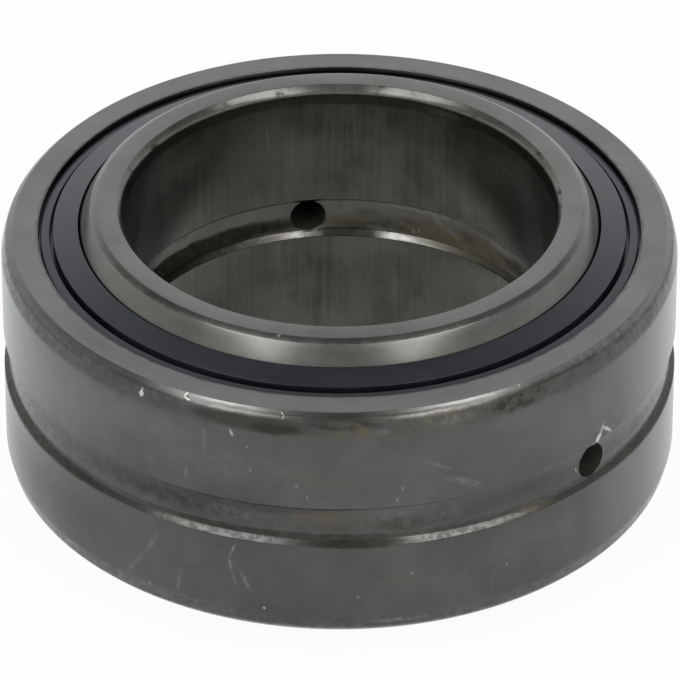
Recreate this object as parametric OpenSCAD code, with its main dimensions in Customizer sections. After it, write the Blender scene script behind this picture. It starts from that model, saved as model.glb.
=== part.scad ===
// Radial spherical plain bearing, sealed on both sides.
// A ball-shaped inner ring swivels and turns in the hollow sphere of the outer ring.
// A rubber seal sits in a recess at each end of the outer ring and wipes the ball.
// Millimetres. +Z is the bore axis, the origin is the centre of the ball.

/* [Inner ring] */
// Diameter of the bore that takes the shaft
bore_d = 30; // [27:0.5:33]
// Width of the inner ring across its end faces
inner_w = 22; // [20:0.25:24]
// Radial width of the flat land on each end face, which sets the ball's size
face_land = 1.409; // [1.2:0.001:2]
// Chamfer at both ends of the bore
bore_chamfer = 0.45; // [0.3:0.05:0.6]
// Height of the bevel between the ball and an end face
rim_bevel_h = 0.25; // [0.15:0.05:0.4]
// Radial width of the bevel between the ball and an end face
rim_bevel_w = 0.42; // [0.25:0.01:0.6]

/* [Outer ring] */
// Wall from the ball surface out to the housing seat
outer_wall = 3.15; // [2.85:0.05:4]
// Step from an end face of the inner ring down to that of the outer ring
end_step = 2; // [1.8:0.05:2.2]
// Length of the shallow lead-in taper at each end
lead_in_len = 1.1; // [0.8:0.1:1.6]
// Radial drop of the lead-in taper
lead_in_drop = 0.28; // [0.2:0.02:0.5]
// Corner break between the taper and the end face
corner_break = 0.48; // [0.3:0.02:0.6]
// Radial play between the ball and the hollow sphere
ball_play = 0.04; // [0.02:0.01:0.08]
// Width of the hairline split the ring is sprung over the ball by
split_gap = 0.03; // [0.02:0.01:0.1]
// Bearing of the split around the ring
split_turn = 22; // [15:1:40]

/* [Lubrication] */
// Width of the ring groove in the outside and in the bore
oil_groove_w = 3.2; // [2.8:0.1:3.8]
// Depth of the ring groove in the outside and in the bore
oil_groove_depth = 0.35; // [0.25:0.05:0.6]
// Axial run of each sloping groove flank
oil_groove_flank = 0.4; // [0.2:0.05:0.6]
// Diameter of the radial oil holes
oil_hole_d = 2.5; // [2:0.1:2.6]
// Bearing of the first oil hole of the outer ring
outer_hole_turn = -42; // [-60:0.5:-30]
// Bearing of the first oil hole of the inner ring
inner_hole_turn = 98.5; // [80:0.5:110]
// Depth of the grease channel around the hollow sphere
channel_depth = 0.6; // [0.3:0.05:0.8]
// Width of the grease channel around the hollow sphere
channel_w = 2.4; // [1.6:0.1:2.6]

/* [Seals] */
// Radial step from the ball surface to the wall of the seal recess
recess_step = 0.57; // [0.5:0.01:0.7]
// Depth of the seal recess below the end face
recess_depth = 1.7; // [1.5:0.05:1.8]
// Radial depth of the undercut that holds the seal bead
undercut_depth = 0.45; // [0.3:0.05:0.6]
// Height of the undercut above the recess floor
undercut_h = 0.8; // [0.6:0.05:0.9]
// Fit gap between the seal and the recess
seal_fit = 0.03; // [0.02:0.01:0.06]
// Gap between the visible seal flange and the recess wall
flange_gap = 0.16; // [0.1:0.01:0.2]
// Depth of the seal flange below the end face
flange_sink = 0.24; // [0.15:0.01:0.35]
// Radial width of the seal flange
flange_w = 0.63; // [0.5:0.01:0.75]
// Width of the slot between flange and lip
slot_w = 0.25; // [0.2:0.01:0.3]
// Height of the rubber web under the slot
web_h = 0.62; // [0.5:0.02:0.75]
// Height of the lip above the end face at its outer edge
lip_rise = 0.05; // [0.02:0.01:0.1]
// Height of the wiping edge above the end face
tip_rise = 0.33; // [0.2:0.01:0.45]
// Thickness of the lip above its wiping edge
tip_h = 0.17; // [0.12:0.01:0.25]
// Running gap between the lip and the ball
lip_gap = 0.05; // [0.03:0.01:0.08]
// Radius of the relief between the two wiping edges
relief_r = 0.3; // [0.2:0.02:0.36]
// Rounding bevel on the seal edges
seal_bevel = 0.08; // [0.05:0.01:0.1]

/* [Hidden] */
$fn = 96;
eps = 1;
bore_r = bore_d / 2;
inner_half = inner_w / 2;
outer_half = inner_half - end_step;
face_r = bore_r + bore_chamfer + face_land;
rim_r = face_r + rim_bevel_w;
rim_z = inner_half - rim_bevel_h;
ball_r = sqrt(rim_r * rim_r + rim_z * rim_z);
trim_r = ball_r + eps;
trim_z = inner_half - (trim_r - face_r) * rim_bevel_h / rim_bevel_w;
outside_r = ball_r + outer_wall;
groove_half = oil_groove_w / 2;
groove_floor_half = groove_half - oil_groove_flank;
taper_r = outside_r - lead_in_drop;
taper_z = outer_half - corner_break;
race_r = ball_r + ball_play;
recess_r = ball_r + recess_step;
recess_z = outer_half - recess_depth;
undercut_r = recess_r + undercut_depth;
undercut_z = recess_z + undercut_h;
channel_arc = (channel_w * channel_w / 4 + channel_depth * channel_depth) / (2 * channel_depth);
wipe_r = ball_r + lip_gap;
flange_r = recess_r - flange_gap;
flange_z = outer_half - flange_sink;
slot_out_r = flange_r - flange_w;
lip_r = slot_out_r - slot_w;
seal_z = recess_z + seal_fit;
web_z = seal_z + web_h;
bead_r = undercut_r - seal_fit;
bead_z = undercut_z - seal_fit;
lip_z = outer_half + lip_rise;
tip_foot_z = outer_half + tip_rise;
tip_r = sqrt(wipe_r * wipe_r - tip_foot_z * tip_foot_z);
tip_z = tip_foot_z + tip_h;
relief_z = (seal_z + tip_foot_z) / 2;
relief_pos = sqrt(wipe_r * wipe_r - relief_z * relief_z);

// A pair of radial oil holes, opposite each other.
module oil_holes(turn) {
    rotate([0, 0, turn])
        rotate([0, 90, 0])
            cylinder(d = oil_hole_d, h = 2 * outside_r + 2 * eps, center = true);
}

// Half section of the outer ring before the hollow sphere is cut.
module outer_section() {
    polygon([
        [eps, -recess_z],
        [undercut_r, -recess_z],
        [undercut_r, -undercut_z],
        [recess_r, -undercut_z],
        [recess_r, -outer_half],
        [taper_r - corner_break, -outer_half],
        [taper_r, -taper_z],
        [outside_r, lead_in_len - taper_z],
        [outside_r, -groove_half],
        [outside_r - oil_groove_depth, -groove_floor_half],
        [outside_r - oil_groove_depth, groove_floor_half],
        [outside_r, groove_half],
        [outside_r, taper_z - lead_in_len],
        [taper_r, taper_z],
        [taper_r - corner_break, outer_half],
        [recess_r, outer_half],
        [recess_r, undercut_z],
        [undercut_r, undercut_z],
        [undercut_r, recess_z],
        [eps, recess_z]
    ]);
}

// Hardened steel ring with the hollow sphere, sprung open at one split to take the ball.
module outer_ring() {
    color([0.42, 0.43, 0.43])
        difference() {
            rotate_extrude()
                outer_section();
            sphere(r = race_r);
            rotate_extrude()
                translate([race_r + channel_depth - channel_arc, 0])
                    circle(r = channel_arc);
            oil_holes(outer_hole_turn);
            rotate([0, 0, split_turn])
                translate([0, -split_gap / 2, -outer_half - eps])
                    cube([outside_r + eps, split_gap, 2 * outer_half + 2 * eps]);
        }
}

// Half section of everything removed from the bore side of the inner ring.
module bore_section() {
    polygon([
        [0, -inner_half - eps],
        [bore_r + bore_chamfer + eps, -inner_half - eps],
        [bore_r, bore_chamfer - inner_half],
        [bore_r, -groove_half],
        [bore_r + oil_groove_depth, -groove_floor_half],
        [bore_r + oil_groove_depth, groove_floor_half],
        [bore_r, groove_half],
        [bore_r, inner_half - bore_chamfer],
        [bore_r + bore_chamfer + eps, inner_half + eps],
        [0, inner_half + eps]
    ]);
}

// Half section that trims the ball to the end faces and their bevels.
module rim_section() {
    polygon([
        [0, -inner_half],
        [face_r, -inner_half],
        [trim_r, -trim_z],
        [trim_r, trim_z],
        [face_r, inner_half],
        [0, inner_half]
    ]);
}

// Hardened steel ball ring with the shaft bore.
module inner_ring() {
    color([0.45, 0.45, 0.43])
        difference() {
            intersection() {
                sphere(r = ball_r);
                rotate_extrude()
                    rim_section();
            }
            rotate_extrude()
                bore_section();
            oil_holes(inner_hole_turn);
        }
}

// Half section of one seal before the ball is cut away.
module seal_section() {
    polygon([
        [tip_r, seal_z],
        [bead_r - seal_bevel, seal_z],
        [bead_r, seal_z + seal_bevel],
        [bead_r, bead_z - seal_bevel],
        [bead_r - seal_bevel, bead_z],
        [flange_r, bead_z],
        [flange_r, flange_z - seal_bevel],
        [flange_r - seal_bevel, flange_z],
        [slot_out_r + seal_bevel, flange_z],
        [slot_out_r, flange_z - seal_bevel],
        [slot_out_r, web_z],
        [lip_r, web_z],
        [lip_r, lip_z - seal_bevel],
        [lip_r - seal_bevel, lip_z],
        [tip_r + seal_bevel, tip_z],
        [tip_r, tip_z - seal_bevel]
    ]);
}

// One-piece rubber seal: bead, flange, slot and a lip with two wiping edges.
module seal() {
    difference() {
        rotate_extrude()
            seal_section();
        sphere(r = wipe_r);
        rotate_extrude()
            translate([relief_pos, relief_z])
                circle(r = relief_r);
    }
}

// Seal at the +Z end.
module upper_seal() {
    color([0.16, 0.17, 0.19])
        seal();
}

// Seal at the -Z end.
module lower_seal() {
    color([0.16, 0.17, 0.19])
        mirror([0, 0, 1])
            seal();
}

outer_ring();
inner_ring();
upper_seal();
lower_seal();
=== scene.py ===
"""Dresses a sealed spherical plain bearing for a studio picture.

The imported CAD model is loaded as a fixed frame. Each turned or moulded piece is made
again on the same outline with finer rounding, gets its finish, and is set on the body
that it moves with. Outlines are in millimetres, and a finished mesh is in metres.
"""

import logging
import math
from collections.abc import Callable, Sequence
from dataclasses import dataclass
from enum import Enum

import bmesh
import bpy
from mathutils import Matrix, Vector


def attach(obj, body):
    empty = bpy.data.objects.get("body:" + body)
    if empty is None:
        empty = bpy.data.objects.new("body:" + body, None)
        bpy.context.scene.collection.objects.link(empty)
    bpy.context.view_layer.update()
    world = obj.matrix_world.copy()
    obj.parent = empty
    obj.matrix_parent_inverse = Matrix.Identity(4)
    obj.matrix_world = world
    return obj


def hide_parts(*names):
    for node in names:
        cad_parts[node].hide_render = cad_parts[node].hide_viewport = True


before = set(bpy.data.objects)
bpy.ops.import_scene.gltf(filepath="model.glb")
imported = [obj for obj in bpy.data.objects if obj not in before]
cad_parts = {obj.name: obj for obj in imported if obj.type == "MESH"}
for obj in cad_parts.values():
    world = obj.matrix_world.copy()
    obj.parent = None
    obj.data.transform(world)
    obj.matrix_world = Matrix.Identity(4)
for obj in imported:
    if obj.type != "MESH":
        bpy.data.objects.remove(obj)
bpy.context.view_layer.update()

log = logging.getLogger("bearing")

MM = 0.001
Colour = tuple[float, float, float]
Place = tuple[float, float]
Span = tuple[float, float]
Socket = bpy.types.NodeSocket
Feed = bpy.types.NodeSocket | float | tuple


# Node bench


class NodeBench:
    """Node tree of a material or the world, with short methods for the nodes that finishes share."""

    def __init__(self, owner: bpy.types.Material | bpy.types.World, chart: str = "Object") -> None:
        """Start an empty tree.

        Args:
            owner: Material or world that gets the tree.
            chart: Coordinates that the tree works on.
        """
        owner.use_nodes = True
        self.owner = owner
        self.tree = owner.node_tree
        self.tree.nodes.clear()
        self.spot = self.add("TexCoord").outputs[chart]
        self._axes: dict[str, Socket] = {}

    def feed(self, socket: Socket, value: Feed) -> None:
        """Link a socket to another one, or set its own value.

        Args:
            socket: Input to feed.
            value: Output to link from, a number, a colour or a vector.
        """
        if isinstance(value, bpy.types.NodeSocket):
            self.tree.links.new(value, socket)
        elif isinstance(value, tuple) and socket.type == "RGBA":
            socket.default_value = (*value, 1.0)
        else:
            socket.default_value = value

    def add(self, kind: str, **inputs: Feed) -> bpy.types.Node:
        """Add a node and feed its inputs.

        Args:
            kind: Blender's name of the node, without ShaderNode in front.
            **inputs: Feeds by the name of the input, with spaces written as underscores.

        Returns:
            The node.
        """
        node = self.tree.nodes.new(f"ShaderNode{kind}")
        for name, value in inputs.items():
            self.feed(node.inputs[name.replace("_", " ")], value)
        return node

    def work(self, kind: str, operation: str, values: Sequence[Feed]) -> Socket:
        """Work out one sum.

        Args:
            kind: Math or VectorMath.
            operation: Blender's name of the operation.
            values: What it works on, in order.

        Returns:
            The result.
        """
        node = self.add(kind)
        node.operation = operation
        for socket, value in zip(node.inputs, values):
            self.feed(socket, value)
        return node.outputs[0]

    def math(self, operation: str, *numbers: Feed) -> Socket:
        """Work out one sum of numbers."""
        return self.work("Math", operation, numbers)

    def vector(self, operation: str, *vectors: Feed) -> Socket:
        """Work out one sum of vectors."""
        return self.work("VectorMath", operation, vectors)

    def split(self, vector: Socket) -> tuple[Socket, ...]:
        """Give the three parts of a vector."""
        return tuple(self.add("SeparateXYZ", Vector=vector).outputs)

    def axis(self, name: str) -> Socket:
        """Give one of the surface's own measures, made once for each material.

        Args:
            name: height or radius in millimetres, or front or back, the bearing in
                radians from that side, positive towards +X.

        Returns:
            The measure.
        """
        if name not in self._axes:
            east, north, up = self.split(self.spot)
            if name == "height":
                made = self.math("MULTIPLY", up, 1.0 / MM)
            elif name == "radius":
                squares = self.math("MULTIPLY_ADD", east, east, self.math("MULTIPLY", north, north))
                made = self.math("MULTIPLY", self.math("SQRT", squares), 1.0 / MM)
            else:
                sign = -1.0 if name == "front" else 1.0
                made = self.math("ARCTAN2", east, self.math("MULTIPLY", north, sign))
            self._axes[name] = made
        return self._axes[name]

    def field(self, size: float | tuple[float, float, float], shift: float = 0.0) -> Socket:
        """Stretch the object's coordinates so that one unit is a given size.

        Args:
            size: Millimetres along X, Y and Z, or one number for all three.
            shift: Offset that makes two fields of one size differ.

        Returns:
            The stretched coordinates.
        """
        steps = size if isinstance(size, tuple) else (size,) * 3
        scale = tuple(1.0 / (step * MM) for step in steps)
        return self.add("Mapping", Vector=self.spot, Scale=scale, Location=(shift,) * 3).outputs[0]

    def rings(self, pitch: float, run: float) -> Socket:
        """Give coordinates whose noise runs in rings about the bore axis.

        Args:
            pitch: Millimetres from ring to ring.
            run: Millimetres over which a ring changes along its length.

        Returns:
            The coordinates.
        """
        east, north, _ = self.split(self.field(run))
        across = self.math("DIVIDE", self.axis("radius"), pitch)
        return self.add("CombineXYZ", X=across, Y=east, Z=north).outputs[0]

    def noise(self, where: Socket, detail: float = 2.0, rough: float = 0.5) -> Socket:
        """Lay noise over coordinates, from 0 to 1 and mostly near 0.5."""
        return self.add("TexNoise", Vector=where, Scale=1.0, Detail=detail, Roughness=rough).outputs[0]

    def band(self, value: Feed, low: float, high: float) -> Socket:
        """Ease from 0 to 1.

        Args:
            value: Number to ease.
            low: Where it gives 0.
            high: Where it gives 1, which may be below low.

        Returns:
            The eased number.
        """
        node = self.add("MapRange", Value=value, From_Min=low, From_Max=high)
        node.interpolation_type = "SMOOTHSTEP"
        return node.outputs[0]

    def between(self, factor: Feed, low: Feed, high: Feed) -> Socket:
        """Blend two numbers, the first at 0 and the second at 1."""
        return self.add("Mix", Factor=factor, A=low, B=high).outputs[0]

    def paint(self, factor: Feed, under: Feed, over: Feed) -> Socket:
        """Blend two colours.

        Args:
            factor: 0 for the first, 1 for the second.
            under: First colour.
            over: Second colour.

        Returns:
            The blended colour.
        """
        node = self.add("Mix", Factor=factor)
        node.data_type = "RGBA"
        self.feed(node.inputs[6], under)
        self.feed(node.inputs[7], over)
        return node.outputs[2]

    def relief(self, height: Feed, depth: float) -> Socket:
        """Turn a height from 0 to 1 into a bumped normal, with its depth in millimetres."""
        return self.add("Bump", Strength=1.0, Distance=depth * MM, Height=height).outputs[0]

    def close(self, **sockets: Feed) -> bpy.types.Material:
        """Close the tree with a Principled shader that is fed by name, and give the material."""
        self.add("OutputMaterial", Surface=self.add("BsdfPrincipled", **sockets).outputs[0])
        return self.owner


# Finishes


class Lay(Enum):
    """Which way the fine lines of a finish run."""

    ROUND = "round the wall"
    ALONG = "along the bore axis"
    RINGS = "in rings on a face"


@dataclass(frozen=True)
class Film:
    """A thin layer on the steel, or the steel without its coat.

    Attributes:
        colour: Its colour.
        rough: Its roughness.
        metal: 1 for bright metal, 0 for dirt.
        shine: Share of the glancing shine and of the oil that is left on it.
    """

    colour: Colour
    rough: float
    metal: float
    shine: float = 1.0


class Trace(Enum):
    """What a single mark lays bare or leaves behind; grime, smear and bare marks also serve as painted shade,
    painted light and painted highlights.
    """

    GREASE = Film((0.016, 0.018, 0.021), 0.30, 0.9)
    GRIME_AND_SHADE = Film((0.026, 0.0255, 0.020), 0.38, 0.9, 0.35)
    BROWN = Film((0.085, 0.077, 0.048), 0.44, 0.7, 0.5)
    RUST = Film((0.106, 0.086, 0.046), 0.50, 0.5, 0.4)
    SLUDGE = Film((0.013, 0.0135, 0.009), 0.45, 0.9, 0.15)
    SMEAR = Film((0.200, 0.199, 0.193), 0.45, 0.6, 0.7)
    BARE_AND_HIGHLIGHT = Film((0.560, 0.550, 0.520), 0.34, 1.0)


@dataclass(frozen=True)
class Mark:
    """One scratch, nick or stain, or one painted highlight or painted shade, at its own place on a turned
    surface.

    A place is a bearing in degrees from the side that the finish counts from, positive
    to +X, and a height on a wall or a radius on a face in millimetres.

    Attributes:
        trace: What the mark shows.
        start: Place of one end.
        end: Place of the other end.
        width: Millimetres across the mark.
        strength: Share of the full colour.
        soft: Share of the width over which the mark fades out.
        broken: How far crumbs of noise eat into the mark.
    """

    trace: Trace
    start: Place
    end: Place
    width: float
    strength: float
    soft: float = 0.6
    broken: float = 0.6

    @classmethod
    def lay(cls, trace: Trace, *rows: tuple) -> "tuple[Mark, ...]":
        """Give marks of one kind, each from a row of the other fields in their order."""
        return tuple(cls(trace, *row) for row in rows)

    def mask(self, bench: NodeBench, chart: Socket, reach: float, crumbs: Socket) -> Socket:
        """Draw the mark.

        Args:
            bench: Tree to draw in.
            chart: The unrolled surface in millimetres.
            reach: Radius that turns a bearing into millimetres.
            crumbs: Noise from 0 to 1 that breaks the mark up.

        Returns:
            The mark's strength on it and 0 off it.
        """
        first, last = (Vector((math.radians(b) * reach, place)) for b, place in (self.start, self.end))
        middle, along = 0.5 * (first + last), last - first
        node = bench.add(
            "Mapping", Vector=chart, Location=(middle.x, middle.y, 0.0),
            Rotation=(0.0, 0.0, math.atan2(-along.x, along.y)),
            Scale=(0.5 * self.width, 0.5 * (along.length + self.width), 1.0),
        )
        node.vector_type = "TEXTURE"
        blot = bench.add("TexGradient", Vector=node.outputs[0])
        blot.gradient_type = "SPHERICAL"
        eaten = self.broken * self.strength
        left = bench.math("MULTIPLY_ADD", crumbs, eaten, self.strength - eaten)
        return bench.math("MULTIPLY", bench.band(blot.outputs[1], 0.0, self.soft), left)


@dataclass(frozen=True)
class Steel:
    """A phosphated steel surface with its lay, clouds, dirt and single marks.

    Sizes are in millimetres, and a share says how far a pattern shifts the mix of clouds.

    Attributes:
        name: Name of the material.
        dark: Colour in the darker clouds.
        light: Colour in the lighter clouds.
        cloud: Size of the clouds along X, Y and Z.
        tint: Colour that drifts over the clouds, in patches of tint_size.
        tint_share: Share of the tint where it is strongest.
        lay: Which way the fine lines run.
        pitch: Distance from line to line.
        run: Distance over which a line changes along its length.
        line_depth: Relief of the lines.
        grain: Size of the matt grain.
        mottle: Size of the faint mottling.
        dirt: Kind of the loose dirt, in patches of dirt_size.
        dirt_from: Noise at which dirt starts.
        dirt_full: Noise at which dirt covers, and no dirt at all if it is 1 or more.
        rough: Roughness of the clean coat.
        metal: How far the coat shines as metal.
        oil: Weight of the thin oil film on it.
        glance: Colour of its shine at a glancing angle.
        side: Bearing axis of the marks.
        reach: Radius of the surface.
        along: Axis of the marks' places.
        wander: How far a mark's edge strays.
        marks: The single marks.
        CLOUD_BAND: Noise at which the darker clouds end and the lighter ones are full.
        DRIFT_BAND: Noise at which the tint starts and is strongest.
        CRUMB_BAND: Noise at which a mark is broken away and is whole.
        STRAY_SIZE: Size of the strays of a mark's edge.
        CRUMB_SIZE: Size of the crumbs that break a mark up.
        ROUGH_DRIFT: How far the roughness drifts with the clouds.
        LINE_RELIEF: Share of the lines in the relief, of which the rest is grain.
        OIL_ROUGH: Roughness of the oil film.
    """

    name: str
    dark: Colour
    light: Colour
    cloud: tuple[float, float, float] = (5.0, 5.0, 5.0)
    tint: Colour = (0.100, 0.088, 0.070)
    tint_size: float = 8.0
    tint_share: float = 0.3
    lay: Lay = Lay.ROUND
    pitch: float = 0.12
    run: float = 14.0
    line_share: float = 0.35
    line_depth: float = 0.002
    grain: float = 0.16
    grain_share: float = 0.35
    mottle: float = 1.3
    mottle_share: float = 0.5
    dirt: Trace = Trace.GRIME_AND_SHADE
    dirt_size: float = 2.4
    dirt_from: float = 0.62
    dirt_full: float = 0.74
    rough: float = 0.3
    metal: float = 1.0
    oil: float = 0.4
    glance: Colour = (0.95, 0.98, 1.0)
    side: str = "front"
    reach: float = 23.5
    along: str = "height"
    wander: float = 0.12
    marks: tuple[Mark, ...] = ()

    CLOUD_BAND = (0.3, 0.7)
    DRIFT_BAND = (0.35, 0.65)
    CRUMB_BAND = (0.42, 0.58)
    STRAY_SIZE = 0.9
    CRUMB_SIZE = 0.55
    ROUGH_DRIFT = 0.05
    LINE_RELIEF = 0.7
    OIL_ROUGH = 0.2

    def lines(self, bench: NodeBench) -> Socket:
        """Give the noise of the fine lines.

        Args:
            bench: Tree to work in.

        Returns:
            Noise from 0 to 1.
        """
        if self.lay is Lay.RINGS:
            where = bench.rings(self.pitch, self.run)
        elif self.lay is Lay.ROUND:
            where = bench.field((self.run, self.run, self.pitch))
        else:
            where = bench.field((self.pitch, self.pitch, self.run))
        return bench.noise(where, detail=3.0, rough=0.6)

    def chart(self, bench: NodeBench) -> Socket:
        """Unroll the surface, with a little wander.

        Args:
            bench: Tree to work in.

        Returns:
            Millimetres round and along the surface.
        """
        bearing = bench.math("MULTIPLY", bench.axis(self.side), self.reach)
        plain = bench.add("CombineXYZ", X=bearing, Y=bench.axis(self.along))
        where = bench.field(self.STRAY_SIZE, shift=4.3)
        stray = bench.add("TexNoise", Vector=where, Scale=1.0).outputs["Color"]
        reach = 2.0 * self.wander
        moved = bench.vector("MULTIPLY_ADD", stray, (2.0 * reach, 2.0 * reach, 0.0), plain.outputs[0])
        return bench.vector("SUBTRACT", moved, (reach, reach, 0.0))

    @classmethod
    def crumbs(cls, bench: NodeBench) -> dict[Trace, Socket]:
        """Give each kind of trace its own noise to break up its marks.

        Args:
            bench: Tree to work in.

        Returns:
            Noise from 0 to 1 by kind.
        """
        where = bench.field(cls.CRUMB_SIZE, shift=9.1)
        noise = bench.add("TexNoise", Vector=where, Scale=1.0, Detail=4.0, Roughness=0.62)
        parts = bench.add("SeparateColor", Color=noise.outputs["Color"])
        sorts = [bench.band(channel, *cls.CRUMB_BAND) for channel in parts.outputs]
        return {trace: sorts[index % len(sorts)] for index, trace in enumerate(Trace)}

    def traces(self, bench: NodeBench) -> dict[Trace, Socket]:
        """Join the loose dirt and the marks to one mask for each kind of trace.

        Args:
            bench: Tree to work in.

        Returns:
            The masks by kind.
        """
        found: dict[Trace, Socket] = {}
        if self.dirt_full < 1.0:
            patches = bench.noise(bench.field(self.dirt_size, shift=7.7), detail=5.0, rough=0.6)
            found[self.dirt] = bench.band(patches, self.dirt_from, self.dirt_full)
        if self.marks:
            chart, crumbs = self.chart(bench), self.crumbs(bench)
            for mark in self.marks:
                kind = mark.trace
                mask = mark.mask(bench, chart, self.reach, crumbs[kind])
                found[kind] = bench.math("MAXIMUM", found[kind], mask) if kind in found else mask
        return found

    def make(self) -> bpy.types.Material:
        """Build the material.

        Returns:
            The material.
        """
        bench = NodeBench(bpy.data.materials.new(self.name))
        lines = self.lines(bench)
        clouds = bench.noise(bench.field(self.cloud, shift=3.1), detail=4.0, rough=0.55)
        grain = bench.noise(bench.field(self.grain), rough=0.6)
        mottle = bench.noise(bench.field(self.mottle, shift=1.7), detail=3.0, rough=0.55)
        shares = ((lines, self.line_share), (grain, self.grain_share), (mottle, self.mottle_share))
        middle = 0.5 * sum(share for _, share in shares)
        tone = bench.math("SUBTRACT", bench.band(clouds, *self.CLOUD_BAND), middle)
        for pattern, share in shares:
            tone = bench.math("MULTIPLY_ADD", pattern, share, tone)
        colour = bench.paint(tone, self.dark, self.light)
        drift = bench.band(bench.noise(bench.field(self.tint_size, shift=5.9)), *self.DRIFT_BAND)
        colour = bench.paint(bench.math("MULTIPLY", drift, self.tint_share), colour, self.tint)
        rough = bench.between(clouds, self.rough - self.ROUGH_DRIFT, self.rough + self.ROUGH_DRIFT)
        metal, oil, glance = self.metal, self.oil, self.glance
        found = self.traces(bench)
        for trace in (kind for kind in Trace if kind in found):
            film, mask = trace.value, found[trace]
            colour = bench.paint(mask, colour, film.colour)
            rough = bench.between(mask, rough, film.rough)
            metal = bench.between(mask, metal, film.metal)
            oil = bench.between(mask, oil, self.oil * film.shine)
            glance = bench.paint(mask, glance, (film.shine,) * 3)
        fine = bench.math("MULTIPLY", grain, 1.0 - self.LINE_RELIEF)
        height = bench.math("MULTIPLY_ADD", lines, self.LINE_RELIEF, fine)
        return bench.close(
            Base_Color=colour, Metallic=metal, Roughness=rough, Normal=bench.relief(height, self.line_depth),
            Specular_Tint=glance, Coat_Weight=oil, Coat_Roughness=self.OIL_ROUGH,
        )


@dataclass(frozen=True)
class Rubber:
    """Smooth moulded rubber with a soft bloom, with sizes in millimetres.

    Attributes:
        name: Name of the material.
        dark: Colour of the clean rubber.
        bloom: Colour of the bloom on it.
        cloud: Size of the bloom's patches.
        grain: Size of the mould's grain.
        grain_depth: Relief of the grain.
        rough: Roughness of the clean rubber.
        rough_bloom: Roughness of the bloom.
        wipe_pitch: Distance from one wiped ring to the next.
        wipe_run: Distance over which a wiped ring changes along its length.
        wipe_share: Share of the wiped rings in the bloom's pattern.
        bloom_band: Pattern at which the bloom starts and covers.
        shine: Specular level.
        glance: Colour of the shine.
    """

    name: str
    dark: Colour = (0.0045, 0.0048, 0.0060)
    bloom: Colour = (0.0080, 0.0095, 0.0145)
    cloud: float = 3.5
    grain: float = 0.2
    grain_depth: float = 0.003
    rough: float = 0.28
    rough_bloom: float = 0.34
    wipe_pitch: float = 0.22
    wipe_run: float = 12.0
    wipe_share: float = 0.35
    bloom_band: Span = (0.36, 0.66)
    shine: float = 0.75
    glance: Colour = (0.84, 0.90, 1.0)

    def make(self) -> bpy.types.Material:
        """Build the material.

        Returns:
            The material.
        """
        bench = NodeBench(bpy.data.materials.new(self.name))
        clouds = bench.noise(bench.field(self.cloud), detail=4.0, rough=0.6)
        wiped = bench.noise(bench.rings(self.wipe_pitch, self.wipe_run))
        grain = bench.noise(bench.field(self.grain, shift=2.0))
        mixed = bench.between(self.wipe_share, clouds, wiped)
        bloom = bench.band(mixed, *self.bloom_band)
        return bench.close(
            Base_Color=bench.paint(bloom, self.dark, self.bloom),
            Roughness=bench.between(bloom, self.rough, self.rough_bloom),
            Normal=bench.relief(grain, self.grain_depth),
            Specular_IOR_Level=self.shine,
            Specular_Tint=self.glance,
        )


# Workshop


@dataclass(frozen=True)
class Corner:
    """One corner of a turned outline.

    Attributes:
        radius: Millimetres from the bore axis.
        height: Millimetres above the middle of the ball.
        ease: Millimetres of rounding, 0 for none.
    """

    radius: float
    height: float
    ease: float = 0.0


def arc(middle: Corner, radius: float, start: float, end: float, steps: int) -> list[Corner]:
    """Lay points along a round stretch of an outline.

    Args:
        middle: Middle of the arc.
        radius: Radius of the arc in millimetres.
        start: First angle in degrees, counted from the outward direction.
        end: Last angle in degrees.
        steps: Number of steps between the two.

    Returns:
        The points, with both ends.
    """
    angles = [math.radians(start + (end - start) * step / steps) for step in range(steps + 1)]
    return [
        Corner(middle.radius + radius * math.cos(angle), middle.height + radius * math.sin(angle))
        for angle in angles
    ]


CENTRE = Corner(0.0, 0.0)


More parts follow.
